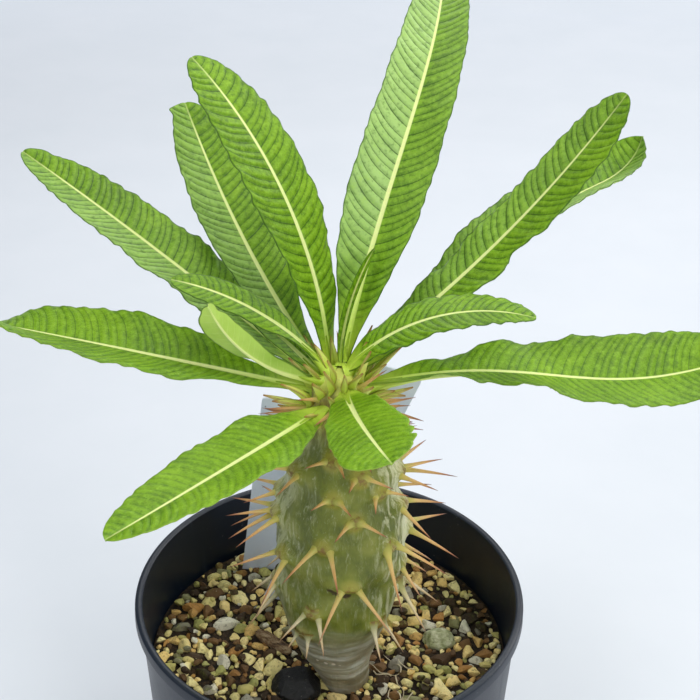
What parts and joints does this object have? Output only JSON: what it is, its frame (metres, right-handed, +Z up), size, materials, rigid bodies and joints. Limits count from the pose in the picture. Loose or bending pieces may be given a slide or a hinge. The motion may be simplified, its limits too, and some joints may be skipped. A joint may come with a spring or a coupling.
{
  "type": "potted pachypodium ambongense",
  "caption": "Potted Pachypodium ambongense: spiny swollen green stem with a crown of long wavy leaves, standing in gritty soil in a round black plastic nursery pot with blank plant labels.",
  "frame": {"origin": "centre of the flat underside of the pot", "axes": "+Z up through the middle of the pot, +X to the right and -Y towards the viewer's side"},
  "size_m": [0.1948, 0.1457, 0.2404],
  "materials": {
    "pot": "satin black moulded plastic, lightly scuffed and dusty",
    "soil": "mixed fine gravel, tan, brown, olive and grey, over dark soil",
    "stem_skin": "olive green succulent skin with pale papery bloom, horn-coloured spines with red-brown tips",
    "leaf": "satin green leaf with pale yellow-green midrib and pressed side veins",
    "label": "grey-white thin plastic, blank"
  },
  "bodies": {
    "root": {"pot": "pot", "soil": "soil", "caudex": "stem_skin", "leaf_rear_tall": "leaf", "leaf_rear_left_tall": "leaf", "leaf_rear_left_wide": "leaf", "leaf_rear_left_long": "leaf", "leaf_left_young": "leaf", "leaf_left_turned": "leaf", "leaf_left_inner": "leaf", "leaf_left": "leaf", "leaf_front_left": "leaf", "leaf_front_short": "leaf", "leaf_right": "leaf", "leaf_right_young": "leaf", "leaf_rear_right_long": "leaf", "leaf_rear_right_low": "leaf", "leaf_centre_young": "leaf", "label_left": "label", "label_right": "label"}
  },
  "joints": []
}
